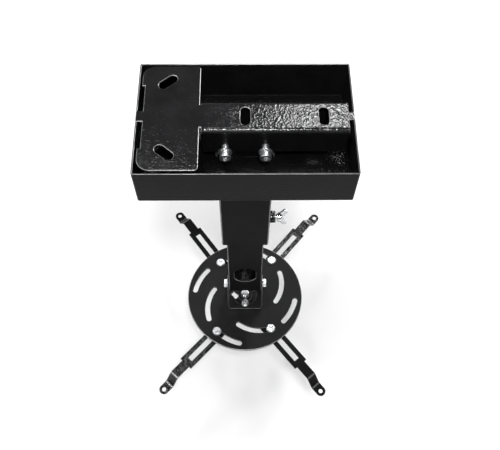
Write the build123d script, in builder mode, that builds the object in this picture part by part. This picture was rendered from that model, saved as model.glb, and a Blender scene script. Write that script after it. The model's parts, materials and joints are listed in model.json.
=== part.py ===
from build123d import *
import os
from math import cos, radians, sin

# Projector ceiling mount: a folded T plate under the ceiling, an open box housing, two nested tubes,
# a tilting bracket, a slotted disc and four sliding arms. Millimetres, +Z up, origin at the centre of
# the ceiling face, +X towards the clamp screw, +Y to the back.

# Clearances
slide_gap = 0.3
hinge_gap = 0.1
hole_gap = 0.3
disc_slot_gap = 0.25
arm_slot_gap = 0.5
weld_gap = 0.1

# Metric hardware: thread diameter, hexagon across flats, nut and head heights
m5 = 5.0
m5_flats = 8.0
m5_nut_height = 4.0
m5_hex_head_height = 3.5
m5_washer_diameter = 10.0
m5_washer_thickness = 1.0
m5_thread_stub = 4.0
m6 = 6.0
m6_flats = 10.0
m6_nut_height = 5.0
m6_hex_head_height = 4.0
m6_socket_head_diameter = 10.0
m6_socket_head_height = 6.0
m6_socket_flats = 5.0
m6_socket_depth = 3.0
m6_pan_head_diameter = 12.0
m6_pan_head_height = 3.6
m6_pan_head_bevel = 1.4
m6_recess_length = 6.4
m6_recess_width = 1.5
m6_recess_depth = 1.8
m6_washer_diameter = 12.0
m6_small_washer_diameter = 11.0
m6_washer_thickness = 1.5
m6_thin_washer_thickness = 0.8
m6_thread_stub = 1.5
m8 = 8.0
m8_flats = 13.0
m8_nut_height = 6.5
hex_chamfer = 0.5

# Box housing
box_length = 184.0
box_depth = 115.5
box_height = 42.5
box_sheet = 1.2
box_rim_drop = 0.3
box_corner_radius = 1.8
box_bend_radius = 1.7
box_notch_depth = 4.0

# Ceiling plate
plate_thickness = 2.5
plate_bend_radius = 4.0
head_margin = 2.3
head_width = 50.0
head_outer_radius = 11.5
head_inner_radius = 3.0
head_recess_depth = 2.5
head_recess_length = 27.0
bar_margin = 3.8
bar_flange_depth = 30.0
bar_relief_length = 1.5
left_tab_width = 11.0
right_tab_width = 8.0
ceiling_slot_width = 8.5
ceiling_slot_length = 18.5
bar_slot_pitch = 66.0
head_slot_inset = 22.0
head_slot_y = 36.7
head_slot_angle = 40.0

# Outer tube and its column bolts
outer_tube_width = 52.0
outer_tube_depth = 25.0
outer_tube_wall = 2.0
outer_tube_radius = 2.5
outer_tube_top_drop = 0.5
outer_tube_end = -217.0
column_gap = 0.7
column_bolt_inset = 8.8
column_bolt_drop = 21.0
column_bolt_slack = 6.0

# Clamp screw with its welded nut
clamp_above_end = 43.0
clamp_neck = 2.2
clamp_hub_diameter = 11.0
clamp_hub_length = 5.0
clamp_hub_bevel = 1.2
clamp_wing_span = 26.0
clamp_wing_flare = 5.5
clamp_wing_tip_radius = 3.2
clamp_wing_root_radius = 2.4
clamp_wing_thickness = 2.6
clamp_wing_angle = 85.0

# Inner tube
tube_side_play = 3.25
tube_face_play = 0.5
inner_tube_wall = 1.5
inner_tube_radius = 2.0
inner_tube_top = -85.0
cable_hole_margin = 7.25
cable_hole_height = 38.5
cable_hole_drop = 305.3
pitch_drop = 352.0
pitch_thread_stub = 4.0
inner_tube_back_drop = 14.0

# Tilting bracket
bracket_sheet = 1.5
bracket_bend_radius = 3.0
bracket_depth = 40.0
bracket_ear_radius = 11.0
bracket_foot_height = 7.0
lock_radius = 12.5
lock_slot_sweep = 204.0
window_length = 9.5
window_width = 6.5
window_angle = -43.0
window_x = -13.8
window_y = 0.2

# Disc, with the radius and angle of each end of its curved slots
disc_below_pitch = 42.0
disc_radius = 77.5
disc_thickness = 3.0
disc_edge_bevel = 0.5
quarter_turns = 4
inner_slot_near_radius = 42.6
inner_slot_near_angle = 168.0
inner_slot_far_radius = 58.9
inner_slot_far_angle = 215.0
outer_slot_near_radius = 63.6
outer_slot_near_angle = 144.0
outer_slot_far_radius = 68.2
outer_slot_far_angle = 173.5

# Arms
arm_thickness = 2.5
arm_width = 19.5
arm_slot_travel = 55.0
arm_inner_end = 12.0
arm_shoulder_land = 8.0
arm_neck_width = 12.5
arm_neck_length = 20.5
arm_joggle_run = 10.5
arm_drop = 15.0
arm_bend_inner = 0.5
arm_toe = 9.5
eyelet_hole = 5.5

# Distance of each arm's bolt from the inner end of the arm's slot
back_left_bolt_inset = 0.8
back_right_bolt_inset = 4.3
front_left_bolt_inset = 8.0
front_right_bolt_inset = 5.8

# Heights and widths that follow from the sizes above
head_left = box_sheet + head_margin - box_length / 2
head_depth = box_depth - 2 * (box_sheet + head_margin)
head_right = head_left + head_width
head_slot_x = head_left + head_slot_inset
bar_width = outer_tube_depth + 2 * (plate_thickness + column_gap)
bar_end = box_length / 2 - box_sheet - bar_margin
flange_start = head_right + bar_relief_length
plate_bend_inner = plate_bend_radius - plate_thickness
box_rim = -box_rim_drop
box_floor = box_rim - box_height
outer_tube_top = -plate_thickness - outer_tube_top_drop
column_bolt_x = outer_tube_width / 2 - column_bolt_inset
column_washer_seat = bar_width / 2 + column_bolt_slack
column_head_seat = column_washer_seat + m6_washer_thickness
column_bolt_end = bar_width / 2 + m6_nut_height + m6_thread_stub
outer_wall_x = outer_tube_width / 2
clamp_drop = -outer_tube_end - clamp_above_end
inner_tube_width = outer_tube_width - 2 * (outer_tube_wall + tube_side_play)
inner_tube_depth = outer_tube_depth - 2 * (outer_tube_wall + tube_face_play)
cable_hole_width = inner_tube_width - 2 * cable_hole_margin
clamp_tip = inner_tube_width / 2 + slide_gap
clamp_hub = outer_wall_x + m8_nut_height + clamp_neck
bracket_inner_width = inner_tube_width + 2 * slide_gap
bracket_outer_width = bracket_inner_width + 2 * bracket_sheet
bracket_bend_inner = bracket_bend_radius - bracket_sheet
disc_top = -pitch_drop - disc_below_pitch
bracket_floor = disc_top + slide_gap
lock_slot_width = m5 + 2 * hole_gap
disc_slot_width = m6 + 2 * disc_slot_gap
arm_slot_width = m6 + 2 * arm_slot_gap
arm_bend_radius = arm_thickness + arm_bend_inner
arm_shoulder = arm_slot_travel + arm_slot_width / 2 + arm_shoulder_land
arm_bend_start = arm_shoulder + arm_neck_length
arm_eyelet = arm_bend_start + arm_joggle_run + arm_toe
web_top = bracket_floor + bracket_sheet
bracket_top = bracket_ear_radius - pitch_drop
disc_bottom = disc_top - disc_thickness
arm_top = disc_bottom - slide_gap
arm_bottom = arm_top - arm_thickness
inner_slot_near = (inner_slot_near_radius, inner_slot_near_angle)
inner_slot_far = (inner_slot_far_radius, inner_slot_far_angle)
outer_slot_near = (outer_slot_near_radius, outer_slot_near_angle)
outer_slot_far = (outer_slot_far_radius, outer_slot_far_angle)

# Each arm: its place, the disc slot end that its bolt stands in, that slot's quarter turn, the arm's
# heading and its bolt's inset
arm_places = (
    ("back_left", inner_slot_far, -1, 125.8, back_left_bolt_inset),
    ("back_right", outer_slot_near, -1, 50.0, back_right_bolt_inset),
    ("front_left", outer_slot_near, 1, 226.4, front_left_bolt_inset),
    ("front_right", inner_slot_far, 1, 309.2, front_right_bolt_inset),
)

os.makedirs("parts", exist_ok=True)


def facing_front(distance):
    """Plane that faces -Y, the given distance in front of the origin."""
    return Plane((0, -distance, 0), x_dir=(1, 0, 0), z_dir=(0, -1, 0))


def facing_back(distance):
    """Plane that faces +Y, the given distance behind the origin, with X turned over."""
    return Plane((0, distance, 0), x_dir=(-1, 0, 0), z_dir=(0, 1, 0))


def facing_right(x):
    """Plane that faces +X at the given x."""
    return Plane((x, 0, 0), x_dir=(0, 1, 0), z_dir=(1, 0, 0))


def facing_left(x):
    """Plane that faces -X at the given x."""
    return Plane((x, 0, 0), x_dir=(0, -1, 0), z_dir=(-1, 0, 0))


def polar(place, quarter):
    """Point of the disc given as radius and angle, turned by whole quarters."""
    radius, angle = place
    turned = radians(angle + 90 * quarter)
    return (radius * cos(turned), radius * sin(turned))


def curved_slot(start, end):
    """Arc of a disc slot through its two ends and the polar point half-way."""
    middle = ((start[0] + end[0]) / 2, (start[1] + end[1]) / 2)
    return ThreePointArc(polar(start, 0), polar(middle, 0), polar(end, 0))


def save(part, name):
    """Label a finished piece and write its file."""
    part.label = name
    export_step(part, f"parts/{name}.step")


def m6_washers(plane, centres):
    """Flat M6 washers that stand on a plane."""
    with BuildPart() as washer:
        with BuildSketch(plane):
            with Locations(*centres):
                Circle(m6_washer_diameter / 2)
                Circle(m6 / 2 + hinge_gap, mode=Mode.SUBTRACT)
        extrude(amount=m6_washer_thickness)
    return washer.part


def hex_nuts(plane, centres, thread, flats, height):
    """Hexagon nuts that stand on a plane, with eased rims."""
    with BuildPart() as nut:
        with BuildSketch(plane):
            with Locations(*centres):
                RegularPolygon(flats / 2, 6, major_radius=False)
        extrude(amount=height)
        rims = faces().filter_by(Axis((0, 0, 0), plane.z_dir)).edges()
        chamfer(rims, hex_chamfer)
        with BuildSketch(plane):
            with Locations(*centres):
                Circle(thread / 2 + hinge_gap)
        extrude(amount=height, mode=Mode.SUBTRACT)
    return nut.part


def hex_bolt(plane, thread, flats, head_height, shank):
    """Hexagon bolt at the plane's origin: the head stands on the plane, the shank runs down from it."""
    with BuildPart() as bolt:
        with BuildSketch(plane):
            RegularPolygon(flats / 2, 6, major_radius=False)
        extrude(amount=head_height)
        rims = faces().filter_by(Axis((0, 0, 0), plane.z_dir)).edges()
        chamfer(rims, hex_chamfer)
        with BuildSketch(plane):
            Circle(thread / 2)
        extrude(amount=-shank)
    return bolt.part


def socket_bolts(plane, centres, shank):
    """Socket head bolts: the heads stand on the plane, the shanks run down from it."""
    with BuildPart() as bolt:
        with BuildSketch(plane):
            with Locations(*centres):
                Circle(m6_socket_head_diameter / 2)
        extrude(amount=m6_socket_head_height)
        rims = faces().filter_by(Axis((0, 0, 0), plane.z_dir)).edges()
        chamfer(rims, hex_chamfer)
        with BuildSketch(plane.offset(m6_socket_head_height)):
            with Locations(*centres):
                RegularPolygon(m6_socket_flats / 2, 6, major_radius=False)
        extrude(amount=-m6_socket_depth, mode=Mode.SUBTRACT)
        with BuildSketch(plane):
            with Locations(*centres):
                Circle(m6 / 2)
        extrude(amount=-shank)
    return bolt.part


def pan_bolt(plane, shank):
    """Cross-recess pan head bolt at the plane's origin: the head stands on the plane."""
    with BuildPart() as bolt:
        with BuildSketch(plane):
            Circle(m6_pan_head_diameter / 2)
        extrude(amount=m6_pan_head_height)
        chamfer(faces().sort_by(Axis.Z)[-1].edges(), m6_pan_head_bevel)
        with BuildSketch(plane.offset(m6_pan_head_height)):
            Rectangle(m6_recess_length, m6_recess_width)
            Rectangle(m6_recess_width, m6_recess_length)
        extrude(amount=-m6_recess_depth, mode=Mode.SUBTRACT)
        with BuildSketch(plane):
            Circle(m6 / 2)
        extrude(amount=-shank)
    return bolt.part


# Ceiling plate: flat T blank with two locating tabs, and a bar folded down along both long edges
with BuildPart() as ceiling_plate:
    with BuildSketch(Plane.XY.offset(-plate_thickness)) as blank:
        with Locations((head_left + head_width / 2, 0)):
            Rectangle(head_width, head_depth)
        fillet(blank.vertices().group_by(Axis.X)[0], head_outer_radius)
        fillet(blank.vertices().group_by(Axis.X)[-1], head_inner_radius)
        with Locations((head_left, left_tab_width / 2), (head_left, -left_tab_width / 2 - head_recess_length)):
            Rectangle(
                head_recess_depth, head_recess_length, align=(Align.MIN, Align.MIN), mode=Mode.SUBTRACT
            )
        with Locations((-box_length / 2, 0)):
            Rectangle(head_width / 2, left_tab_width, align=(Align.MIN, Align.CENTER))
        with Locations((head_right, 0)):
            Rectangle(
                bar_end - head_right, bar_width - 2 * plate_bend_radius, align=(Align.MIN, Align.CENTER)
            )
        with Locations((box_length / 2, 0)):
            Rectangle(head_width / 2, right_tab_width, align=(Align.MAX, Align.CENTER))
    extrude(amount=plate_thickness)
    with BuildSketch(Plane.YZ.offset(flange_start)):
        with Locations((0, -bar_flange_depth)):
            RectangleRounded(bar_width, 2 * bar_flange_depth, plate_bend_radius)
        with Locations((0, -plate_thickness - bar_flange_depth)):
            RectangleRounded(
                bar_width - 2 * plate_thickness, 2 * bar_flange_depth, plate_bend_inner, mode=Mode.SUBTRACT
            )
        Rectangle(bar_width, bar_flange_depth, align=(Align.CENTER, Align.MAX), mode=Mode.INTERSECT)
    extrude(amount=bar_end - flange_start)
    with BuildSketch(Plane.XY):
        with Locations((0, 0), (bar_slot_pitch, 0)):
            SlotOverall(ceiling_slot_length, ceiling_slot_width, rotation=90)
        for side in (1, -1):
            with Locations((head_slot_x, side * head_slot_y)):
                SlotOverall(ceiling_slot_length, ceiling_slot_width, rotation=side * head_slot_angle)
    extrude(amount=-plate_thickness, mode=Mode.SUBTRACT)
    with BuildSketch(Plane.XZ):
        with Locations((-column_bolt_x, -column_bolt_drop), (column_bolt_x, -column_bolt_drop)):
            Circle(m6 / 2 + hole_gap)
    extrude(amount=bar_width, both=True, mode=Mode.SUBTRACT)
save(ceiling_plate.part, "ceiling_plate")

# Box housing: open at the top, with a floor hole round the outer tube and a notch for each locating tab
with BuildPart() as housing_box:
    with BuildSketch(Plane.XY.offset(box_rim)):
        RectangleRounded(box_length, box_depth, box_corner_radius)
    extrude(amount=-box_height)
    fillet(faces().sort_by(Axis.Z)[0].edges(), radius=box_bend_radius)
    offset(amount=-box_sheet, openings=faces().sort_by(Axis.Z)[-1])
    with BuildSketch(Plane.XY.offset(box_floor)):
        RectangleRounded(
            outer_tube_width + 2 * weld_gap, outer_tube_depth + 2 * weld_gap, outer_tube_radius + weld_gap
        )
    extrude(amount=box_sheet, mode=Mode.SUBTRACT)
    for side, tab_width in ((-1, left_tab_width), (1, right_tab_width)):
        with BuildSketch(Plane.YZ):
            with Locations((0, box_rim)):
                Rectangle(tab_width + 2 * slide_gap, box_notch_depth, align=(Align.CENTER, Align.MAX))
        extrude(amount=side * box_length, mode=Mode.SUBTRACT)
save(housing_box.part, "housing_box")

# Outer tube: welded into the box floor, its top between the folded edges of the bar
with BuildPart() as outer_tube:
    with BuildSketch(Plane.XY.offset(outer_tube_top)):
        RectangleRounded(outer_tube_width, outer_tube_depth, outer_tube_radius)
        RectangleRounded(
            outer_tube_width - 2 * outer_tube_wall,
            outer_tube_depth - 2 * outer_tube_wall,
            outer_tube_radius - outer_tube_wall,
            mode=Mode.SUBTRACT,
        )
    extrude(amount=outer_tube_end - outer_tube_top)
    with BuildSketch(Plane.XZ):
        with Locations((-column_bolt_x, -column_bolt_drop), (column_bolt_x, -column_bolt_drop)):
            Circle(m6 / 2 + hole_gap)
    extrude(amount=outer_tube_depth, both=True, mode=Mode.SUBTRACT)
    with BuildSketch(Plane.YZ):
        with Locations((0, -clamp_drop)):
            Circle(m8 / 2 + hole_gap)
    extrude(amount=outer_tube_width, mode=Mode.SUBTRACT)
save(outer_tube.part, "outer_tube")

# Column bolts, backed off so that the tube can still be levelled, with their washers and nuts
column_centres = ((-column_bolt_x, -column_bolt_drop), (column_bolt_x, -column_bolt_drop))
column_bolts = socket_bolts(
    facing_front(column_head_seat), column_centres, column_head_seat + column_bolt_end
)
save(column_bolts, "column_bolts")
column_washers = m6_washers(facing_front(column_washer_seat), column_centres)
save(column_washers, "column_washers")
column_nuts = hex_nuts(facing_back(bar_width / 2), column_centres, m6, m6_flats, m6_nut_height)
save(column_nuts, "column_nuts")

# Clamp screw: a nut welded to the tube and a winged screw whose tip holds the inner tube
clamp_nut = hex_nuts(facing_right(outer_wall_x), ((0, -clamp_drop),), m8, m8_flats, m8_nut_height)
save(clamp_nut, "clamp_nut")

clamp_wing_plane = Plane(
    (clamp_hub, 0, -clamp_drop),
    x_dir=(1, 0, 0),
    z_dir=(0, sin(radians(clamp_wing_angle)), -cos(radians(clamp_wing_angle))),
)
wing_tip_x = clamp_hub_length + clamp_wing_flare - clamp_wing_tip_radius
wing_tip_y = clamp_wing_span / 2 - clamp_wing_tip_radius
with BuildPart() as clamp_screw:
    with BuildSketch(facing_right(clamp_tip)):
        with Locations((0, -clamp_drop)):
            Circle(m8 / 2)
    extrude(amount=clamp_hub - clamp_tip)
    with BuildSketch(facing_right(clamp_hub)):
        with Locations((0, -clamp_drop)):
            Circle(clamp_hub_diameter / 2)
    extrude(amount=clamp_hub_length)
    chamfer(faces().sort_by(Axis.X)[-1].edges(), clamp_hub_bevel)
    for side in (1, -1):
        with BuildSketch(clamp_wing_plane):
            with Locations((clamp_hub_length / 2, side * clamp_hub_diameter / 4)):
                Circle(clamp_wing_root_radius)
            with Locations((wing_tip_x, side * wing_tip_y)):
                Circle(clamp_wing_tip_radius)
            make_hull()
        extrude(amount=clamp_wing_thickness / 2, both=True)
save(clamp_screw.part, "clamp_screw")

# Inner tube: cable hole in its front wall, lower end rounded about the pitch bolts in front
with BuildPart() as inner_tube:
    with BuildSketch(Plane.XY.offset(inner_tube_top)):
        RectangleRounded(inner_tube_width, inner_tube_depth, inner_tube_radius)
        RectangleRounded(
            inner_tube_width - 2 * inner_tube_wall,
            inner_tube_depth - 2 * inner_tube_wall,
            inner_tube_radius - inner_tube_wall,
            mode=Mode.SUBTRACT,
        )
    extrude(amount=-pitch_drop - inner_tube_back_drop - inner_tube_top)
    with BuildSketch(Plane.YZ):
        with Locations((0, -pitch_drop)):
            Rectangle(inner_tube_depth, inner_tube_depth, align=(Align.MAX, Align.MAX))
            Circle(inner_tube_depth / 2, mode=Mode.SUBTRACT)
    extrude(amount=inner_tube_width, both=True, mode=Mode.SUBTRACT)
    with BuildSketch(Plane.XZ):
        with Locations((0, -cable_hole_drop)):
            SlotOverall(cable_hole_height, cable_hole_width, rotation=90)
    extrude(amount=inner_tube_depth, mode=Mode.SUBTRACT)
    with BuildSketch(Plane.YZ):
        with Locations((0, -pitch_drop)):
            Circle(m6 / 2 + hinge_gap)
    extrude(amount=inner_tube_width, both=True, mode=Mode.SUBTRACT)
save(inner_tube.part, "inner_tube")

# Tilting bracket: a folded channel with tapered ears outside the inner tube. Its web has an arc slot
# and a sight window, which stands over the disc's window when the disc is square to the bracket
with BuildPart() as tilt_bracket:
    bracket_height = bracket_top - bracket_floor
    with BuildSketch(Plane.XZ):
        with Locations((0, bracket_floor + bracket_height)):
            RectangleRounded(bracket_outer_width, 2 * bracket_height, bracket_bend_radius)
        with Locations((0, web_top + bracket_height)):
            RectangleRounded(
                bracket_inner_width, 2 * bracket_height, bracket_bend_inner, mode=Mode.SUBTRACT
            )
        with Locations((0, bracket_floor)):
            Rectangle(
                bracket_outer_width, bracket_height, align=(Align.CENTER, Align.MIN), mode=Mode.INTERSECT
            )
    extrude(amount=bracket_depth / 2, both=True)
    with BuildSketch(Plane.YZ):
        with Locations((0, -pitch_drop)):
            Circle(bracket_ear_radius)
        with Locations((0, bracket_floor)):
            Rectangle(bracket_depth, bracket_foot_height, align=(Align.CENTER, Align.MIN))
        make_hull()
    extrude(amount=bracket_outer_width, both=True, mode=Mode.INTERSECT)
    with BuildSketch(Plane.YZ):
        with Locations((0, -pitch_drop)):
            Circle(m6 / 2 + hinge_gap)
    extrude(amount=bracket_outer_width, both=True, mode=Mode.SUBTRACT)
    with BuildSketch(Plane.XY.offset(bracket_floor)):
        Circle(m6 / 2 + hinge_gap)
        SlotArc(CenterArc((0, 0), lock_radius, -90 - lock_slot_sweep / 2, lock_slot_sweep), lock_slot_width)
        with Locations((window_x, window_y)):
            Rectangle(window_length, window_width, rotation=window_angle)
    extrude(amount=bracket_sheet, mode=Mode.SUBTRACT)
save(tilt_bracket.part, "tilt_bracket")

# Pitch bolts, one at each ear: head and washer outside, nut inside the tube
ear_face = bracket_outer_width / 2
ear_seat = ear_face + m6_thin_washer_thickness
pitch_nut_seat = inner_tube_width / 2 - inner_tube_wall - slide_gap
pitch_bolt_end = pitch_nut_seat - m6_nut_height - pitch_thread_stub
pitch_bolt_plane = Plane((ear_seat, 0, -pitch_drop), x_dir=(0, 1, 0), z_dir=(1, 0, 0))
with BuildPart() as pitch_bolt:
    add(hex_bolt(pitch_bolt_plane, m6, m6_flats, m6_hex_head_height, ear_seat - pitch_bolt_end))
    mirror(about=Plane.YZ)
save(pitch_bolt.part, "pitch_bolt")
with BuildPart() as pitch_nut:
    add(hex_nuts(facing_left(pitch_nut_seat), ((0, -pitch_drop),), m6, m6_flats, m6_nut_height))
    mirror(about=Plane.YZ)
save(pitch_nut.part, "pitch_nut")
with BuildPart() as pitch_washers:
    for face_plane in (facing_left(-ear_face), facing_right(ear_face)):
        with BuildSketch(face_plane):
            with Locations((0, -pitch_drop)):
                Circle(m6_washer_diameter / 2)
                Circle(m6 / 2 + hinge_gap, mode=Mode.SUBTRACT)
        extrude(amount=m6_thin_washer_thickness)
save(pitch_washers.part, "pitch_washers")

# Disc: four pairs of curved slots, the swivel hole, the lock bolt's hole and the sight window
with BuildPart() as mounting_disc:
    with BuildSketch(Plane.XY.offset(disc_bottom)):
        Circle(disc_radius)
    extrude(amount=disc_thickness)
    chamfer(edges().filter_by(GeomType.CIRCLE), disc_edge_bevel)
    inner_slot = curved_slot(inner_slot_near, inner_slot_far)
    outer_slot = curved_slot(outer_slot_near, outer_slot_far)
    with BuildSketch(Plane.XY.offset(disc_bottom)):
        Circle(m6 / 2 + hinge_gap)
        with Locations((0, -lock_radius)):
            Circle(m5 / 2 + hinge_gap)
        with Locations((window_x, window_y)):
            Rectangle(window_length, window_width, rotation=window_angle)
        with PolarLocations(0, quarter_turns):
            SlotArc(inner_slot, disc_slot_width)
            SlotArc(outer_slot, disc_slot_width)
    extrude(amount=disc_thickness, mode=Mode.SUBTRACT)
save(mounting_disc.part, "mounting_disc")

# Swivel bolt: head and washer under the disc, washer and nut on the bracket's web
swivel_head_seat = arm_top - m6_washer_thickness
swivel_nut_seat = web_top + m6_washer_thickness
swivel_bolt_end = swivel_nut_seat + m6_nut_height + m6_thread_stub
under_disc = Plane((0, 0, swivel_head_seat), x_dir=(1, 0, 0), z_dir=(0, 0, -1))
swivel_bolt = hex_bolt(under_disc, m6, m6_flats, m6_hex_head_height, swivel_bolt_end - swivel_head_seat)
save(swivel_bolt, "swivel_bolt")
swivel_nut = hex_nuts(Plane.XY.offset(swivel_nut_seat), ((0, 0),), m6, m6_flats, m6_nut_height)
save(swivel_nut, "swivel_nut")
with BuildPart() as swivel_washers:
    for washer_floor in (swivel_head_seat, web_top):
        with BuildSketch(Plane.XY.offset(washer_floor)):
            Circle(m6_small_washer_diameter / 2)
            Circle(m6 / 2 + hinge_gap, mode=Mode.SUBTRACT)
        extrude(amount=m6_washer_thickness)
save(swivel_washers.part, "swivel_washers")

# Swivel lock: a bolt held in the disc that runs in the bracket's arc slot
lock_centre = (0, -lock_radius)
lock_washer_seat = web_top + slide_gap
lock_nut_seat = lock_washer_seat + m5_washer_thickness
lock_bolt_end = lock_nut_seat + m5_nut_height + m5_thread_stub
under_lock = Plane((0, -lock_radius, disc_bottom), x_dir=(1, 0, 0), z_dir=(0, 0, -1))
lock_bolt = hex_bolt(under_lock, m5, m5_flats, m5_hex_head_height, lock_bolt_end - disc_bottom)
save(lock_bolt, "lock_bolt")
with BuildPart() as lock_washer:
    with BuildSketch(Plane.XY.offset(lock_washer_seat)):
        with Locations(lock_centre):
            Circle(m5_washer_diameter / 2)
            Circle(m5 / 2 + hinge_gap, mode=Mode.SUBTRACT)
    extrude(amount=m5_washer_thickness)
save(lock_washer.part, "lock_washer")
lock_nut = hex_nuts(Plane.XY.offset(lock_nut_seat), (lock_centre,), m5, m5_flats, m5_nut_height)
save(lock_nut, "lock_nut")

# Arms: stepped strips under the disc, each with a slot, a Z bend and an eyelet, and its bolt, washer and nut
arm_tip = arm_eyelet + arm_neck_width / 2
arm_wide_run = arm_shoulder + arm_inner_end - arm_width / 2
arm_bolt_seat = disc_top + slide_gap
arm_washer_seat = arm_bottom - slide_gap
arm_nut_seat = arm_washer_seat - m6_washer_thickness
arm_bolt_shank = arm_bolt_seat - arm_nut_seat + m6_nut_height + m6_thread_stub
for place, slot_end, quarter, heading, bolt_inset in arm_places:
    bolt_x, bolt_y = polar(slot_end, quarter)
    along = (cos(radians(heading)), sin(radians(heading)), 0)
    across = (along[1], -along[0], 0)
    start = (bolt_x - bolt_inset * along[0], bolt_y - bolt_inset * along[1], arm_top)
    top_plane = Plane(start, x_dir=along, z_dir=(0, 0, 1))
    side_plane = Plane(start, x_dir=along, z_dir=across)
    with BuildPart() as arm:
        with BuildSketch(side_plane):
            with BuildLine():
                FilletPolyline(
                    (-arm_inner_end, 0),
                    (arm_bend_start, 0),
                    (arm_bend_start + arm_joggle_run, -arm_drop),
                    (arm_tip, -arm_drop),
                    radius=arm_bend_radius,
                )
                offset(amount=arm_thickness, side=Side.RIGHT)
            make_face()
        extrude(amount=arm_width, both=True)
        with BuildSketch(top_plane):
            with Locations((arm_width / 2 - arm_inner_end, 0)):
                Circle(arm_width / 2)
                Rectangle(arm_wide_run, arm_width, align=(Align.MIN, Align.CENTER))
            with Locations((arm_shoulder, 0)):
                Rectangle(arm_eyelet - arm_shoulder, arm_neck_width, align=(Align.MIN, Align.CENTER))
            with Locations((arm_eyelet, 0)):
                Circle(arm_neck_width / 2)
        extrude(amount=-2 * arm_drop, mode=Mode.INTERSECT)
        with BuildSketch(top_plane):
            with Locations((arm_slot_travel / 2, 0)):
                Rectangle(arm_slot_travel + arm_slot_width, arm_slot_width)
            with Locations((arm_eyelet, 0)):
                Circle(eyelet_hole / 2)
        extrude(amount=-2 * arm_drop, mode=Mode.SUBTRACT)
    save(arm.part, f"arm_{place}")
    bolt_plane = Plane((bolt_x, bolt_y, arm_bolt_seat), x_dir=along, z_dir=(0, 0, 1))
    save(pan_bolt(bolt_plane, arm_bolt_shank), f"arm_bolt_{place}")
    washer_plane = Plane((bolt_x, bolt_y, arm_washer_seat), x_dir=along, z_dir=(0, 0, -1))
    save(m6_washers(washer_plane, ((0, 0),)), f"arm_washer_{place}")
    nut_plane = Plane((bolt_x, bolt_y, arm_nut_seat), x_dir=along, z_dir=(0, 0, -1))
    save(hex_nuts(nut_plane, ((0, 0),), m6, m6_flats, m6_nut_height), f"arm_nut_{place}")
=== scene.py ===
import json
from math import cos, pi, radians, sin

import bmesh
import bpy
from mathutils import Matrix, Vector


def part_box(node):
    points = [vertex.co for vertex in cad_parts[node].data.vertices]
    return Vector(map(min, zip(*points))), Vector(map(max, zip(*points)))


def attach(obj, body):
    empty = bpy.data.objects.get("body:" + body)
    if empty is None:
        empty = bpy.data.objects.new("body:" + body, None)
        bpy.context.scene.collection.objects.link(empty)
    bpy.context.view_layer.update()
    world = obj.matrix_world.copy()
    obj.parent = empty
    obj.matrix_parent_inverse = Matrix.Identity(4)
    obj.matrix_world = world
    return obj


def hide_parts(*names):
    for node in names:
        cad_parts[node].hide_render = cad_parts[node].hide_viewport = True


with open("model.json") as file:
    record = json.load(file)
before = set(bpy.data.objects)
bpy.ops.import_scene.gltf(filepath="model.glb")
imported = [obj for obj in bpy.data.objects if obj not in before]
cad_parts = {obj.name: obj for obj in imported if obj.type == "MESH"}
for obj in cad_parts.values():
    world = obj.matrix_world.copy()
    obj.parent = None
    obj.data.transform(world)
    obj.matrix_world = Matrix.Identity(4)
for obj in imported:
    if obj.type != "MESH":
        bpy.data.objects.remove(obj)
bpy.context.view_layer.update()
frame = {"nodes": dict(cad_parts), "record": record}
nodes = frame["nodes"]
scene = bpy.context.scene
MM = 0.001

# Camera: pixels of focal length over a picture 500 wide, then its turn and place
PICTURE_WIDTH = 500
FOCAL_PIXELS = 658.05
SENSOR = 36.0
CAMERA_PITCH = radians(61.64)
CAMERA_YAW = radians(1.254)
CAMERA_ROLL = radians(0.898)
CAMERA_PLACE = Vector((-2.2, -342.2, 441.5)) * MM

ARM_PLACES = ("back_left", "back_right", "front_left", "front_right")

# Points of a weld's path, after the first, round each corner of the tube
WELD_CORNER_STEPS = 4

# Threads, welds, eased edges and painted places, in millimetres
M5_RADIUS = 2.5
M6_RADIUS = 3.0
M8_RADIUS = 4.0
M5_PITCH = 0.8
M6_PITCH = 1.0
M8_PITCH = 1.25
THREAD_RIDGE = 0.3
THREAD_SINK = 0.1
TUBE_WELD_RADIUS = 1.0
CLAMP_WELD_RADIUS = 0.7
WELD_STEP = 1.6
MERGE_REACH = 0.001
PLATE_EASE = 0.5
SHEET_EASE = 0.3
HARDWARE_EASE = 0.12
CLAMP_NECK = 2.2
TUBE_CORNER = 2.5
M6_NUT_HEIGHT = 5.0
PITCH_STUB = 4.0
BOX_FLOOR_REACH = 5.0
FOLD_START = 4.5

# Angles that count as flat when a solid's triangles are joined, and as sharp when its edges are eased
FLAT_ANGLE = radians(0.5)
SHARP_ANGLE = radians(40)

# Share of the paint that is rubbed thin to bare metal on eased edges, on an arm's edges and bends, and on a
# tube's corners; this bare metal is partly wear and partly painted highlight lines
EDGE_WEAR_AND_HIGHLIGHT = 1.0
ARM_EDGE_WEAR_AND_HIGHLIGHT = 0.25
ARM_BEND_WEAR_AND_HIGHLIGHT = 0.9
TUBE_CORNER_WEAR_AND_HIGHLIGHT = 0.6

# Parts of a face's normal that tell a bend of an arm, a rounded corner of a tube and the top of the box floor
ARM_BEND_LEAST = 0.6
ARM_BEND_MOST = 0.99
TUBE_CORNER_LEAST = 0.45
FLOOR_LEAST = 0.9

# Cool cast of the black paints, and how much paler they are where they are scuffed
COOL_CAST = 1.06
SCUFF_LIFT = 1.7
SCUFF_COOL_LIFT = 1.8

# Floor, in millimetres: half its side, its room under the arms, the middle of its patch without glow,
# which is painted shade round the object, and how far from there the glow begins and is full
FLOOR_HALF = 6000.0
FLOOR_ROOM = 160.0
SHADE_PATCH_PLACE = 74.0
GLOW_START = 110.0
GLOW_FULL = 1100.0

# Light: the floor's glow for the camera, and the strength of the horizon and of the sky above it
FLOOR_GLOW = 0.95
HORIZON_LIGHT = 0.55
HORIZON_HEIGHT = 0.05
SKY_LIGHT = 0.12
SKY_HEIGHT = 0.6


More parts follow.
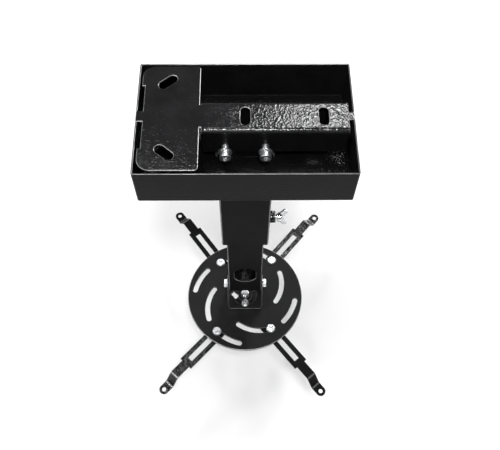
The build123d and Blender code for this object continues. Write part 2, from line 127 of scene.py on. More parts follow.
def new_tree(name, kind, inputs, outputs):
    """Node tree with named sockets, and its two end nodes."""
    tree = bpy.data.node_groups.new(name, kind)
    for label, socket, value in inputs:
        made = tree.interface.new_socket(label, in_out="INPUT", socket_type=socket)
        if value is not None:
            made.default_value = value
    for label, socket in outputs:
        tree.interface.new_socket(label, in_out="OUTPUT", socket_type=socket)
    return tree, tree.nodes.new("NodeGroupInput"), tree.nodes.new("NodeGroupOutput")


def put(tree, kind, settings=None, **values):
    """Node of a tree, with its settings and the values of its unlinked sockets."""
    node = tree.nodes.new(kind)
    for key, value in (settings or {}).items():
        setattr(node, key, value)
    for key, value in values.items():
        node.inputs[key.replace("_", " ")].default_value = value
    return node


def hammered_skin_group():
    """Paint that has pulled into small domes and worn thin along its edges, where metal shows; this bare
    metal is partly wear and partly painted highlight.
    """
    tree, start, end = new_tree(
        "hammered skin",
        "ShaderNodeTree",
        [
            ("Dome Scale", "NodeSocketFloat", 500.0),
            ("Dome Depth", "NodeSocketFloat", 1.0),
            ("Grit", "NodeSocketFloat", 0.3),
            ("Roughness Low", "NodeSocketFloat", 0.2),
            ("Roughness High", "NodeSocketFloat", 0.4),
            ("Tint", "NodeSocketColor", (0.01, 0.01, 0.01, 1)),
            ("Scuff", "NodeSocketColor", (0.03, 0.03, 0.03, 1)),
            ("Bare", "NodeSocketColor", (0.5, 0.5, 0.5, 1)),
            ("Wear", "NodeSocketFloat", 0.8),
        ],
        [
            ("Color", "NodeSocketColor"),
            ("Roughness", "NodeSocketFloat"),
            ("Metallic", "NodeSocketFloat"),
            ("Height", "NodeSocketFloat"),
        ],
    )
    link = tree.links.new
    place = put(tree, "ShaderNodeTexCoord")
    warp = put(tree, "ShaderNodeTexNoise", Scale=260.0, Detail=2.0)
    shift = put(tree, "ShaderNodeVectorMath", {"operation": "MULTIPLY_ADD"})
    shift.inputs[1].default_value = (0.0009, 0.0009, 0.0009)
    domes = put(tree, "ShaderNodeTexVoronoi", {"feature": "SMOOTH_F1"}, Smoothness=0.55)
    depth = put(tree, "ShaderNodeMath", {"operation": "MULTIPLY"})
    grit = put(tree, "ShaderNodeTexNoise", Scale=2600.0, Detail=3.0, Roughness=0.6)
    gritted = put(tree, "ShaderNodeMath", {"operation": "MULTIPLY_ADD"})
    handled = put(tree, "ShaderNodeTexNoise", Scale=38.0, Detail=5.0, Roughness=0.62)
    worn = put(tree, "ShaderNodeMapRange")
    worn.inputs["From Min"].default_value = 0.36
    worn.inputs["From Max"].default_value = 0.7
    rough = put(tree, "ShaderNodeMapRange")
    tint = put(tree, "ShaderNodeMix", {"data_type": "RGBA"})
    edge = put(tree, "ShaderNodeAttribute", {"attribute_name": "wear_and_highlight"})
    patchy = put(tree, "ShaderNodeMapRange")
    patchy.inputs["To Min"].default_value = 1.0
    patchy.inputs["To Max"].default_value = 0.55
    thinned = put(tree, "ShaderNodeMath", {"operation": "MULTIPLY"})
    bared = put(tree, "ShaderNodeMath", {"operation": "MULTIPLY"})
    shown = put(tree, "ShaderNodeMix", {"data_type": "RGBA"})
    rubbed = put(tree, "ShaderNodeMix", {"data_type": "FLOAT"})
    rubbed.inputs["B"].default_value = 0.36
    link(place.outputs["Object"], warp.inputs["Vector"])
    link(warp.outputs["Color"], shift.inputs[0])
    link(place.outputs["Object"], shift.inputs[2])
    link(shift.outputs[0], domes.inputs["Vector"])
    link(start.outputs["Dome Scale"], domes.inputs["Scale"])
    link(domes.outputs["Distance"], depth.inputs[0])
    link(start.outputs["Dome Depth"], depth.inputs[1])
    link(place.outputs["Object"], grit.inputs["Vector"])
    link(grit.outputs["Fac"], gritted.inputs[0])
    link(start.outputs["Grit"], gritted.inputs[1])
    link(depth.outputs[0], gritted.inputs[2])
    link(place.outputs["Object"], handled.inputs["Vector"])
    link(handled.outputs["Fac"], worn.inputs["Value"])
    link(worn.outputs[0], rough.inputs["Value"])
    link(start.outputs["Roughness Low"], rough.inputs["To Min"])
    link(start.outputs["Roughness High"], rough.inputs["To Max"])
    link(worn.outputs[0], tint.inputs["Factor"])
    link(start.outputs["Tint"], tint.inputs["A"])
    link(start.outputs["Scuff"], tint.inputs["B"])
    link(worn.outputs[0], patchy.inputs["Value"])
    link(edge.outputs["Fac"], thinned.inputs[0])
    link(start.outputs["Wear"], thinned.inputs[1])
    link(thinned.outputs[0], bared.inputs[0])
    link(patchy.outputs[0], bared.inputs[1])
    link(bared.outputs[0], shown.inputs["Factor"])
    link(tint.outputs["Result"], shown.inputs["A"])
    link(start.outputs["Bare"], shown.inputs["B"])
    link(bared.outputs[0], rubbed.inputs["Factor"])
    link(rough.outputs[0], rubbed.inputs["A"])
    link(shown.outputs["Result"], end.inputs["Color"])
    link(rubbed.outputs["Result"], end.inputs["Roughness"])
    link(bared.outputs[0], end.inputs["Metallic"])
    link(gritted.outputs[0], end.inputs["Height"])
    return tree


def plated_metal_group():
    """Plated metal: fine turning lines and clouded plate, as a colour, a roughness and a height."""
    tree, start, end = new_tree(
        "plated metal",
        "ShaderNodeTree",
        [
            ("Bright", "NodeSocketColor", (0.8, 0.8, 0.8, 1)),
            ("Dull", "NodeSocketColor", (0.5, 0.5, 0.5, 1)),
            ("Roughness Low", "NodeSocketFloat", 0.15),
            ("Roughness High", "NodeSocketFloat", 0.35),
            ("Cloud Scale", "NodeSocketFloat", 300.0),
        ],
        [("Color", "NodeSocketColor"), ("Roughness", "NodeSocketFloat"), ("Height", "NodeSocketFloat")],
    )
    link = tree.links.new
    place = put(tree, "ShaderNodeTexCoord")
    cloud = put(tree, "ShaderNodeTexNoise", Detail=4.0, Roughness=0.6)
    lines = put(tree, "ShaderNodeTexNoise", Scale=5200.0, Detail=2.0)
    spread = put(tree, "ShaderNodeMapRange")
    spread.inputs["From Min"].default_value = 0.35
    spread.inputs["From Max"].default_value = 0.68
    rough = put(tree, "ShaderNodeMapRange")
    tint = put(tree, "ShaderNodeMix", {"data_type": "RGBA"})
    link(place.outputs["Object"], cloud.inputs["Vector"])
    link(start.outputs["Cloud Scale"], cloud.inputs["Scale"])
    link(place.outputs["Object"], lines.inputs["Vector"])
    link(cloud.outputs["Fac"], spread.inputs["Value"])
    link(spread.outputs[0], rough.inputs["Value"])
    link(start.outputs["Roughness Low"], rough.inputs["To Min"])
    link(start.outputs["Roughness High"], rough.inputs["To Max"])
    link(spread.outputs[0], tint.inputs["Factor"])
    link(start.outputs["Bright"], tint.inputs["A"])
    link(start.outputs["Dull"], tint.inputs["B"])
    link(tint.outputs["Result"], end.inputs["Color"])
    link(rough.outputs[0], end.inputs["Roughness"])
    link(lines.outputs["Fac"], end.inputs["Height"])
    return tree


HAMMERED = hammered_skin_group()
PLATED = plated_metal_group()


def finish_material(name, group, group_values, bump_strength, bump_distance, shader_values):
    """Material whose colour, roughness and relief come from one of the shared groups."""
    material = bpy.data.materials.new(name)
    material.use_nodes = True
    tree = material.node_tree
    shader = tree.nodes["Principled BSDF"]
    for key, value in shader_values.items():
        shader.inputs[key].default_value = value
    skin = tree.nodes.new("ShaderNodeGroup")
    skin.node_tree = group
    for key, value in group_values.items():
        skin.inputs[key].default_value = value
    bump = put(tree, "ShaderNodeBump", Strength=bump_strength, Distance=bump_distance)
    tree.links.new(skin.outputs["Color"], shader.inputs["Base Color"])
    tree.links.new(skin.outputs["Roughness"], shader.inputs["Roughness"])
    if "Metallic" in skin.outputs:
        tree.links.new(skin.outputs["Metallic"], shader.inputs["Metallic"])
    tree.links.new(skin.outputs["Height"], bump.inputs["Height"])
    tree.links.new(bump.outputs["Normal"], shader.inputs["Normal"])
    return material


def black_paint(name, tint, scale, depth, grit, low, high, relief, shine, wear):
    """Black paint with its own tint, dome size, depth and relief, its own shine and its own edge wear, whose
    bare metal also stands for painted highlights.
    """
    return finish_material(
        name,
        HAMMERED,
        {
            "Dome Scale": scale,
            "Dome Depth": depth,
            "Grit": grit,
            "Roughness Low": low,
            "Roughness High": high,
            "Tint": (tint, tint, COOL_CAST * tint, 1),
            "Scuff": (SCUFF_LIFT * tint, SCUFF_LIFT * tint, SCUFF_COOL_LIFT * tint, 1),
            "Wear": wear,
        },
        bump_strength=1.0,
        bump_distance=relief,
        shader_values={"Specular IOR Level": shine},
    )


plate_paint = black_paint(
    "hammered black plate paint",
    tint=0.007, scale=620.0, depth=1.0, grit=0.10, low=0.07, high=0.13,
    relief=0.00018, shine=0.30, wear=0.7,
)
box_paint = black_paint(
    "black box paint",
    tint=0.0035, scale=620.0, depth=0.5, grit=0.10, low=0.30, high=0.46,
    relief=0.00020, shine=0.05, wear=0.9,
)
# Painted sheen: a glossier, more beaded copy of the box paint for the box floor, so that it glints, while the
# box's other faces keep the dull paint.
box_floor_sheen_paint = black_paint(
    "glinting black box floor paint",
    tint=0.0025, scale=1000.0, depth=1.0, grit=0.10, low=0.05, high=0.10,
    relief=0.00040, shine=0.34, wear=0.0,
)
tube_paint = black_paint(
    "satin black tube paint",
    tint=0.004, scale=700.0, depth=0.4, grit=0.08, low=0.36, high=0.52,
    relief=0.00016, shine=0.03, wear=0.7,
)
disc_paint = black_paint(
    "satin black disc paint",
    tint=0.008, scale=650.0, depth=0.5, grit=0.10, low=0.44, high=0.58,
    relief=0.00020, shine=0.09, wear=0.7,
)
arm_paint = black_paint(
    "speckled black arm paint",
    tint=0.002, scale=430.0, depth=1.0, grit=0.12, low=0.05, high=0.10,
    relief=0.00045, shine=0.28, wear=0.9,
)
# Painted shade: a duller copy of the arm paint, less shiny and less worn, for the two arms that stay out of
# the lamps' glints; the arm paint above is the lit copy.
shaded_arm_paint = black_paint(
    "shaded black arm paint",
    tint=0.003, scale=700.0, depth=0.4, grit=0.08, low=0.30, high=0.45,
    relief=0.00016, shine=0.06, wear=0.3,
)
zinc = finish_material(
    "bright zinc plate",
    PLATED,
    {
        "Bright": (0.80, 0.81, 0.82, 1),
        "Dull": (0.52, 0.53, 0.54, 1),
        "Roughness Low": 0.30,
        "Roughness High": 0.46,
        "Cloud Scale": 420.0,
    },
    bump_strength=0.15,
    bump_distance=0.0001,
    shader_values={"Metallic": 1.0},
)
chrome = finish_material(
    "polished chrome",
    PLATED,
    {
        "Bright": (0.58, 0.59, 0.60, 1),
        "Dull": (0.36, 0.37, 0.38, 1),
        "Roughness Low": 0.06,
        "Roughness High": 0.18,
        "Cloud Scale": 260.0,
    },
    bump_strength=0.08,
    bump_distance=0.0001,
    shader_values={"Metallic": 1.0},
)

PAINTS = {
    "ceiling_plate": plate_paint,
    "housing_box": box_paint,
    "outer_tube": tube_paint,
    "inner_tube": tube_paint,
    "tilt_bracket": disc_paint,
    "mounting_disc": disc_paint,
    "clamp_nut": arm_paint,
    "clamp_screw": chrome,
}
EASES = {"ceiling_plate": PLATE_EASE}
TUBES = ("outer_tube", "inner_tube")
ARMS = tuple("arm_" + arm_place for arm_place in ARM_PLACES)
# Two of the four like arms get the duller copy of the arm paint as painted shade, the others the lit,
# glittering one.
SHADED_ARMS = ("arm_back_left", "arm_front_right")
for arm_name in ARMS:
    PAINTS[arm_name] = shaded_arm_paint if arm_name in SHADED_ARMS else arm_paint
    EASES[arm_name] = PLATE_EASE

SLOTS = {piece["node"]: piece["material_slot"] for piece in frame["record"]["subparts"]}
BODIES = {}
for body_name, members in frame["record"]["behaviour"]["bodies"].items():
    for member in members:
        BODIES[member] = body_name


def finish_piece(name, mesh, body):
    """Finished mesh as a piece that rides on a body."""
    piece = bpy.data.objects.new(name, mesh)
    scene.collection.objects.link(piece)
    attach(piece, body)
    return piece


def baked(maker, name):
    """Plain mesh of a maker object with its modifiers applied; the maker is removed."""
    bpy.context.view_layer.update()
    evaluated = maker.evaluated_get(bpy.context.evaluated_depsgraph_get())
    mesh = bpy.data.meshes.new_from_object(evaluated)
    mesh.name = name
    maker.modifiers.clear()
    bpy.data.objects.remove(maker)
    return mesh


def bend_wear_and_highlight(name, normal):
    """Bare metal on a tube's rounded corners and on the bends of an arm, partly wear and partly painted
    highlight lines.
    """
    if name in TUBES and min(abs(normal.x), abs(normal.y)) > TUBE_CORNER_LEAST:
        return TUBE_CORNER_WEAR_AND_HIGHLIGHT
    if name in ARMS and ARM_BEND_LEAST < abs(normal.z) < ARM_BEND_MOST:
        return ARM_BEND_WEAR_AND_HIGHLIGHT
    return 0.0


def mark_wear_and_highlights(mesh, name):
    """Mask of wear and painted highlight on the bends and the eased faces, which come in the second slot and
    are shaded flat.
    """
    marks = []
    edge_wear_and_highlight = ARM_EDGE_WEAR_AND_HIGHLIGHT if name in ARMS else EDGE_WEAR_AND_HIGHLIGHT
    normals = [corner.vector.copy() for corner in mesh.corner_normals]
    for face in mesh.polygons:
        if face.material_index == 1:
            marks.append(edge_wear_and_highlight)
            for corner in face.loop_indices:
                normals[corner] = face.normal.copy()
        else:
            marks.append(bend_wear_and_highlight(name, face.normal))
        face.material_index = 0
    mesh.materials.pop(index=1)
    mesh.normals_split_custom_set(normals)
    worn = mesh.attributes.new("wear_and_highlight", "FLOAT", "FACE")
    worn.data.foreach_set("value", marks)


def paint_sheen_on_box_floor(mesh):
    """Painted sheen: the box floor, inside, gets a darker, glossier, more beaded copy of the box paint than
    the box's other faces, so that it glints under the lamps.
    """
    mesh.materials.append(box_floor_sheen_paint)
    foot = min(vertex.co.z for vertex in mesh.vertices)
    for face in mesh.polygons:
        if face.normal.z > FLOOR_LEAST and face.center.z < foot + BOX_FLOOR_REACH * MM:
            face.material_index = 1


def paint_shade_on_bar_folds(mesh):
    """Painted shade: the bar's folded edges, down in the box, get the box's darker, duller paint and no edge
    wear, to stand for the shade they lie in.
    """
    mesh.materials.append(box_paint)
    top = max(vertex.co.z for vertex in mesh.vertices)
    worn = mesh.attributes["wear_and_highlight"].data
    for face in mesh.polygons:
        if face.center.z < top - FOLD_START * MM:
            face.material_index = 1
            worn[face.index].value = 0.0


def eased_copy(name):
    """Merged copy of a solid whose sharp edges are eased and bared to metal, partly as wear and partly as
    painted highlight, so that they catch the light.
    """
    work = bmesh.new()
    work.from_mesh(nodes[name].data)
    bmesh.ops.remove_doubles(work, verts=work.verts, dist=MERGE_REACH * MM)
    bmesh.ops.dissolve_limit(work, angle_limit=FLAT_ANGLE, verts=work.verts, edges=work.edges)
    if name == "tilt_bracket":
        bmesh.ops.triangulate(work, faces=work.faces, ngon_method="EAR_CLIP")
    for face in work.faces:
        face.smooth = True
    mesh = bpy.data.meshes.new(name + " merged")
    work.to_mesh(mesh)
    work.free()
    mesh.materials.append(PAINTS.get(name, zinc))
    mesh.materials.append(PAINTS.get(name, zinc))
    maker = bpy.data.objects.new(name + " maker", mesh)
    scene.collection.objects.link(maker)
    ease = maker.modifiers.new("ease", "BEVEL")
    plain_ease = SHEET_EASE if SLOTS[name] == "black_paint" else HARDWARE_EASE
    ease.width = EASES.get(name, plain_ease) * MM
    ease.material = 1
    ease.segments = 1
    ease.loop_slide = False
    ease.use_clamp_overlap = False
    ease.limit_method = "ANGLE"
    ease.angle_limit = SHARP_ANGLE
    level = maker.modifiers.new("level", "WEIGHTED_NORMAL")
    level.keep_sharp = True
    eased = baked(maker, name + "_eased")
    mark_wear_and_highlights(eased, name)
    # The box floor gets the glinting copy of the box paint as painted sheen.
    if name == "housing_box":
        paint_sheen_on_box_floor(eased)
    # The bar's folds get painted shade: the box's darker, duller paint.
    if name == "ceiling_plate":
        paint_shade_on_bar_folds(eased)
    piece = finish_piece(name + "_eased", eased, BODIES[name])
    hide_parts(name)


def dress_solids():
    """Every solid gets its finish, and an eased copy that stands for it."""
    for name in sorted(SLOTS):
        nodes[name].data.materials.clear()
        nodes[name].data.materials.append(PAINTS.get(name, zinc))
        eased_copy(name)


dress_solids()


def thread_tree():
    """Screw thread: a ridge wound round a run that starts at each point, along the given turn."""
    tree, start, end = new_tree(
        "screw thread",
        "GeometryNodeTree",
        [
            ("Geometry", "NodeSocketGeometry", None),
            ("Radius", "NodeSocketFloat", 0.003),
            ("Pitch", "NodeSocketFloat", 0.001),
            ("Length", "NodeSocketFloat", 0.006),
            ("Ridge", "NodeSocketFloat", 0.0003),
            ("Turn", "NodeSocketVector", (0, 0, 0)),
            ("Material", "NodeSocketMaterial", None),
        ],
        [("Geometry", "NodeSocketGeometry")],
    )
    link = tree.links.new
    turns = put(tree, "ShaderNodeMath", {"operation": "DIVIDE"})
    helix = put(tree, "GeometryNodeCurveSpiral", Resolution=24)
    ridge = put(tree, "GeometryNodeCurvePrimitiveCircle", Resolution=4)
    sweep = put(tree, "GeometryNodeCurveToMesh", Fill_Caps=True)
    spread = put(tree, "GeometryNodeInstanceOnPoints")
    real = put(tree, "GeometryNodeRealizeInstances")
    paint = put(tree, "GeometryNodeSetMaterial")
    link(start.outputs["Length"], turns.inputs[0])
    link(start.outputs["Pitch"], turns.inputs[1])
    link(turns.outputs[0], helix.inputs["Rotations"])
    link(start.outputs["Radius"], helix.inputs["Start Radius"])
    link(start.outputs["Radius"], helix.inputs["End Radius"])
    link(start.outputs["Length"], helix.inputs["Height"])
    link(start.outputs["Ridge"], ridge.inputs["Radius"])
    link(helix.outputs["Curve"], sweep.inputs["Curve"])
    link(ridge.outputs["Curve"], sweep.inputs["Profile Curve"])
    link(start.outputs["Geometry"], spread.inputs["Points"])
    link(sweep.outputs["Mesh"], spread.inputs["Instance"])
    link(start.outputs["Turn"], spread.inputs["Rotation"])
    link(spread.outputs["Instances"], real.inputs["Geometry"])
    link(real.outputs["Geometry"], paint.inputs["Geometry"])
    link(start.outputs["Material"], paint.inputs["Material"])
    link(paint.outputs["Geometry"], end.inputs["Geometry"])
    return tree


def weld_tree():
    """Weld bead: overlapping ripples laid along a run of edges, each turned with the run."""
    tree, start, end = new_tree(
        "weld bead",
        "GeometryNodeTree",
        [
            ("Geometry", "NodeSocketGeometry", None),
            ("Bead", "NodeSocketFloat", 0.0011),
            ("Step", "NodeSocketFloat", 0.0016),
            ("Unevenness", "NodeSocketFloat", 0.25),
            ("Material", "NodeSocketMaterial", None),
        ],
        [("Geometry", "NodeSocketGeometry")],
    )
    link = tree.links.new
    path = put(tree, "GeometryNodeMeshToCurve")
    points = put(tree, "GeometryNodeCurveToPoints", {"mode": "LENGTH"})
    ripple = put(tree, "GeometryNodeMeshUVSphere", Segments=10, Rings=6)
    least = put(tree, "ShaderNodeMath", {"operation": "SUBTRACT"})
    least.inputs[0].default_value = 1.0
    size = put(tree, "FunctionNodeRandomValue", {"data_type": "FLOAT"}, Seed=11)
    size.inputs[3].default_value = 1.0
    spread = put(tree, "GeometryNodeInstanceOnPoints")
    real = put(tree, "GeometryNodeRealizeInstances")
    smooth = put(tree, "GeometryNodeSetShadeSmooth")
    paint = put(tree, "GeometryNodeSetMaterial")
    link(start.outputs["Geometry"], path.inputs["Mesh"])
    link(path.outputs["Curve"], points.inputs["Curve"])
    link(start.outputs["Step"], points.inputs["Length"])
    link(start.outputs["Bead"], ripple.inputs["Radius"])
    link(start.outputs["Unevenness"], least.inputs[1])
    link(least.outputs[0], size.inputs[2])
    link(points.outputs["Points"], spread.inputs["Points"])
    link(ripple.outputs["Mesh"], spread.inputs["Instance"])
    link(points.outputs["Rotation"], spread.inputs["Rotation"])
    link(size.outputs[1], spread.inputs["Scale"])
    link(spread.outputs["Instances"], real.inputs["Geometry"])
    link(real.outputs["Geometry"], smooth.inputs["Geometry"])
    link(smooth.outputs["Geometry"], paint.inputs["Geometry"])
    link(start.outputs["Material"], paint.inputs["Material"])
    link(paint.outputs["Geometry"], end.inputs["Geometry"])
    return tree


THREAD = thread_tree()
WELD = weld_tree()


def grow(name, tree, points, edges, values, body):
    """Piece made by a node tree from points, in metres, baked to a plain mesh that rides on a body."""
    seed = bpy.data.meshes.new(name + " points")
    seed.from_pydata(points, edges, [])
    maker = bpy.data.objects.new(name + " maker", seed)
    scene.collection.objects.link(maker)
    modifier = maker.modifiers.new("grow", "NODES")
    modifier.node_group = tree
    for item in tree.interface.items_tree:
        if item.in_out == "INPUT" and item.name in values:
            modifier[item.identifier] = values[item.name]
    finish_piece(name, baked(maker, name), body)


def thread(name, points, radius, pitch, length, turn, material, body):
    """Threads of one length and direction on one body."""
    values = {
        "Radius": (radius - THREAD_SINK) * MM,
        "Pitch": pitch * MM,
        "Length": length,
        "Ridge": THREAD_RIDGE * MM,
        "Turn": turn,
        "Material": material,
    }
    grow(name, THREAD, points, [], values, body)


def weld(name, path, radius, body):
    """Painted bead along a closed path."""
    edges = [(i, (i + 1) % len(path)) for i in range(len(path))]
    values = {"Bead": radius * MM, "Step": WELD_STEP * MM, "Material": tube_paint}
    grow(name, WELD, path, edges, values, body)


def middle(name):
    """Middle of a node's box."""
    low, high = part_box(name)
    return (low + high) / 2


UP = (0, 0, 0)
DOWN = (pi, 0, 0)
TO_BACK = (-pi / 2, 0, 0)
TO_RIGHT = (0, pi / 2, 0)


def column_threads():
    """Threads of the column bolts, between the washers and the bar and behind the nuts."""
    bolts_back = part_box("column_bolts")[1].y
    washers_low, washers_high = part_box("column_washers")
    nuts_low, nuts_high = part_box("column_nuts")
    washer_radius = (washers_high.z - washers_low.z) / 2
    height = middle("column_bolts").z
    sides = (washers_low.x + washer_radius, washers_high.x - washer_radius)
    # The nuts lie against the bar's back fold, and its front fold stands as far to the front
    bar_front = -nuts_low.y
    thread(
        "column_bolt_threads", [(x, washers_high.y, height) for x in sides], M6_RADIUS, M6_PITCH,
        bar_front - washers_high.y, TO_BACK, zinc, "ceiling_unit",
    )
    thread(
        "column_bolt_end_threads", [(x, nuts_high.y, height) for x in sides], M6_RADIUS, M6_PITCH,
        bolts_back - nuts_high.y, TO_BACK, zinc, "ceiling_unit",
    )


def clamp_thread():
    """Thread of the clamp screw, between its nut and its hub."""
    nut_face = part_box("clamp_nut")[1].x
    centre = middle("clamp_nut")
    thread(
        "clamp_screw_thread", [(nut_face, centre.y, centre.z)], M8_RADIUS, M8_PITCH,
        CLAMP_NECK * MM, TO_RIGHT, chrome, "clamp_screw",
    )


def head_threads():
    """Threads that stand out of the swivel nut and the lock nut."""
    for name, radius, pitch, body in (
        ("swivel", M6_RADIUS, M6_PITCH, "tilt_head"), ("lock", M5_RADIUS, M5_PITCH, "disc")
    ):
        nut_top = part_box(name + "_nut")[1].z
        centre = middle(name + "_nut")
        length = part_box(name + "_bolt")[1].z - nut_top
        thread(
            name + "_bolt_thread", [(centre.x, centre.y, nut_top)], radius, pitch,
            length, UP, zinc, body,
        )


def pitch_threads():
    """Threads of the pitch bolts, inside the tube beyond their nuts."""
    nuts_low, nuts_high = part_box("pitch_nut")
    centre = middle("pitch_nut")
    reach = (M6_NUT_HEIGHT + PITCH_STUB) * MM
    starts = (nuts_low.x + M6_NUT_HEIGHT * MM, nuts_high.x - reach)
    thread(
        "pitch_bolt_threads", [(x, centre.y, centre.z) for x in starts], M6_RADIUS, M6_PITCH,
        PITCH_STUB * MM, TO_RIGHT, zinc, "tilt_head",
    )


def arm_threads():
    """Threads that stand out under each arm's nut."""
    for arm_place in ARM_PLACES:
        nut_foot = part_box("arm_nut_" + arm_place)[0].z
        bolt_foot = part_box("arm_bolt_" + arm_place)[0].z
        centre = middle("arm_bolt_" + arm_place)
        thread(
            "arm_bolt_thread_" + arm_place, [(centre.x, centre.y, nut_foot)], M6_RADIUS, M6_PITCH,
            nut_foot - bolt_foot, DOWN, zinc, "arm_bolt_" + arm_place,
        )


def tube_weld():
    """Bead round the outer tube, under the box floor."""
    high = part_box("outer_tube")[1]
    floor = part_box("housing_box")[0].z
    corner = TUBE_CORNER * MM
    path = []
    for side_x, side_y, start in ((1, 1, 0), (-1, 1, 90), (-1, -1, 180), (1, -1, 270)):
        for step in range(WELD_CORNER_STEPS + 1):
            turned = radians(start + 90 / WELD_CORNER_STEPS * step)
            path.append((
                side_x * (high.x - corner) + corner * cos(turned),
                side_y * (high.y - corner) + corner * sin(turned),
                floor,
            ))
    weld("tube_weld", path, TUBE_WELD_RADIUS, "ceiling_unit")


def clamp_nut_weld():
    """Bead round the foot of the clamp nut."""
    low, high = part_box("clamp_nut")
    centre = middle("clamp_nut")
    reach = (high.y - low.y) / 2
    path = []
    for corner in range(6):
        turned = corner * pi / 3
        path.append((low.x, centre.y + reach * cos(turned), centre.z + reach * sin(turned)))
    weld("clamp_nut_weld", path, CLAMP_WELD_RADIUS, "ceiling_unit")


column_threads()
clamp_thread()
head_threads()
pitch_threads()
arm_threads()
tube_weld()
clamp_nut_weld()


def floor_material():
    """White floor that glows for the camera, less near the object: a patch of painted shade round it, in
    which its real shadow also shows.
    """
    material = bpy.data.materials.new("white floor")
    material.use_nodes = True
    tree = material.node_tree
    tree.nodes.clear()
    output = tree.nodes.new("ShaderNodeOutputMaterial")
    matt = put(tree, "ShaderNodeBsdfDiffuse", Color=(0.82, 0.82, 0.82, 1))
    place = put(tree, "ShaderNodeTexCoord")
    # Painted shade: the glow fades to nothing towards the object, so the floor round it is darker.
    away = put(tree, "ShaderNodeVectorMath", {"operation": "MULTIPLY_ADD"})
    away.inputs[1].default_value = (1, 1, 0)
    away.inputs[2].default_value = (0, -SHADE_PATCH_PLACE * MM, 0)
    reach = put(tree, "ShaderNodeVectorMath", {"operation": "LENGTH"})
    rise = put(tree, "ShaderNodeMapRange")
    rise.inputs["From Min"].default_value = GLOW_START * MM
    rise.inputs["From Max"].default_value = GLOW_FULL * MM
    rise.inputs["To Max"].default_value = FLOOR_GLOW
    glow = put(tree, "ShaderNodeEmission", Color=(1, 1, 1, 1))
    dark = put(tree, "ShaderNodeEmission", Color=(1, 1, 1, 1), Strength=0.0)
    ray = put(tree, "ShaderNodeLightPath")
    seen = put(tree, "ShaderNodeMath", {"operation": "MAXIMUM"})
    shown = put(tree, "ShaderNodeMath", {"operation": "MAXIMUM"})
    pick = put(tree, "ShaderNodeMixShader")
    both = put(tree, "ShaderNodeAddShader")
    link = tree.links.new
    link(place.outputs["Object"], away.inputs[0])
    link(away.outputs["Vector"], reach.inputs[0])
    link(reach.outputs["Value"], rise.inputs["Value"])
    link(rise.outputs[0], glow.inputs["Strength"])
    link(ray.outputs["Is Camera Ray"], seen.inputs[0])
    link(ray.outputs["Is Glossy Ray"], seen.inputs[1])
    link(seen.outputs[0], shown.inputs[0])
    link(ray.outputs["Is Transmission Ray"], shown.inputs[1])
    link(shown.outputs[0], pick.inputs[0])
    link(dark.outputs[0], pick.inputs[1])
    link(glow.outputs[0], pick.inputs[2])
    link(pick.outputs[0], both.inputs[0])
    link(matt.outputs[0], both.inputs[1])
    link(both.outputs[0], output.inputs["Surface"])
    return material


def make_floor():
    """Large flat floor, with room under the arms for the tube drawn out and the head pitched."""
    low = min(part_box(name)[0].z for name in nodes) - FLOOR_ROOM * MM
    mesh = bpy.data.meshes.new("floor")
    half = FLOOR_HALF * MM
    corners = [(-half, -half, low), (half, -half, low), (half, half, low), (-half, half, low)]
    mesh.from_pydata(corners, [], [(0, 1, 2, 3)])
    floor = bpy.data.objects.new("floor", mesh)
    floor.data.materials.append(floor_material())
    scene.collection.objects.link(floor)


def make_world():
    """White for the camera; for light and reflections, a pale horizon under a dim sky."""
    world = bpy.data.worlds.new("studio")
    scene.world = world
    world.use_nodes = True
    tree = world.node_tree
    tree.nodes.clear()
    output = tree.nodes.new("ShaderNodeOutputWorld")
    place = put(tree, "ShaderNodeTexCoord")
    split = put(tree, "ShaderNodeSeparateXYZ")
    height = put(tree, "ShaderNodeMapRange", {"interpolation_type": "SMOOTHSTEP"})
    height.inputs["From Min"].default_value = HORIZON_HEIGHT
    height.inputs["From Max"].default_value = SKY_HEIGHT
    height.inputs["To Min"].default_value = HORIZON_LIGHT
    height.inputs["To Max"].default_value = SKY_LIGHT
    plain = put(tree, "ShaderNodeBackground", Color=(1, 1, 1, 1))
    white = put(tree, "ShaderNodeBackground", Color=(1, 1, 1, 1), Strength=1.0)
    ray = put(tree, "ShaderNodeLightPath")
    pick = put(tree, "ShaderNodeMixShader")
    link = tree.links.new
    link(place.outputs["Generated"], split.inputs[0])
    link(split.outputs["Z"], height.inputs["Value"])
    link(height.outputs[0], plain.inputs["Strength"])
    link(ray.outputs["Is Camera Ray"], pick.inputs[0])
    link(plain.outputs[0], pick.inputs[1])
    link(white.outputs[0], pick.inputs[2])
    link(pick.outputs[0], output.inputs["Surface"])


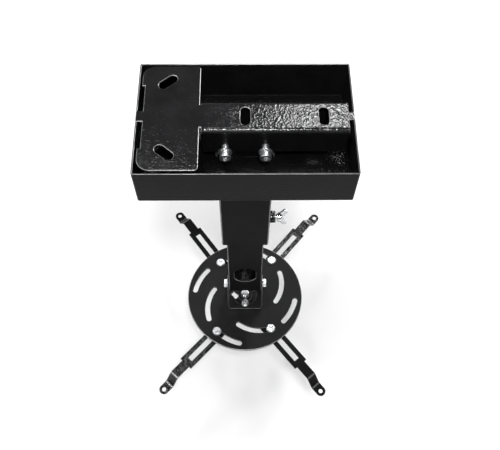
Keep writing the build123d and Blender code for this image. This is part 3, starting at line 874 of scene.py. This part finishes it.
def soft_light(name, place, target, size, power):
    """Square soft box that faces a point."""
    lamp = bpy.data.lights.new(name, "AREA")
    lamp.size = size
    lamp.energy = power
    light = bpy.data.objects.new(name, lamp)
    light.location = place
    light.rotation_mode = "QUATERNION"
    light.rotation_quaternion = (Vector(target) - Vector(place)).to_track_quat("-Z", "Y")
    scene.collection.objects.link(light)


def make_camera():
    """Camera at the photograph's height and tilt."""
    forward = Vector((
        sin(CAMERA_YAW) * cos(CAMERA_PITCH), cos(CAMERA_YAW) * cos(CAMERA_PITCH), -sin(CAMERA_PITCH)
    ))
    level = Vector((cos(CAMERA_YAW), -sin(CAMERA_YAW), 0))
    upright = level.cross(forward)
    right = level * cos(CAMERA_ROLL) + upright * sin(CAMERA_ROLL)
    up = upright * cos(CAMERA_ROLL) - level * sin(CAMERA_ROLL)
    lens = bpy.data.cameras.new("camera")
    lens.sensor_width = SENSOR
    lens.lens = FOCAL_PIXELS / PICTURE_WIDTH * SENSOR
    lens.clip_start = 0.01
    lens.clip_end = 50.0
    camera = bpy.data.objects.new("camera", lens)
    turn = Matrix((right, up, -forward)).transposed()
    camera.matrix_world = Matrix.Translation(CAMERA_PLACE) @ turn.to_4x4()
    scene.collection.objects.link(camera)
    scene.camera = camera


make_floor()
make_world()
make_camera()
soft_light("key box", place=(0.065, -0.54, 1.11), target=(0.0, 0.0, -0.40), size=0.15, power=13.0)
soft_light("glint box", place=(0.22, 0.78, 0.93), target=(0.05, 0.0, -0.10), size=0.15, power=1.7)
soft_light("corner box", place=(0.22, 0.58, 0.93), target=(0.05, 0.0, -0.05), size=0.14, power=3.6)
soft_light("top box", place=(-0.255, 0.30, 1.04), target=(-0.05, 0.0, -0.30), size=0.20, power=3.5)
soft_light("right strip", place=(1.07, 0.85, 0.10), target=(0.0, 0.0, -0.10), size=0.5, power=6.0)
soft_light("back strip", place=(0.50, 1.15, 0.35), target=(0.0, 0.0, -0.20), size=0.3, power=3.0)
soft_light("left strip", place=(-0.85, -0.25, 0.75), target=(0.0, 0.0, -0.25), size=0.25, power=6.0)
soft_light("front box", place=(-0.12, -1.40, 1.08), target=(0.0, 0.0, -0.15), size=0.45, power=4.6)
scene.view_settings.view_transform = "Standard"
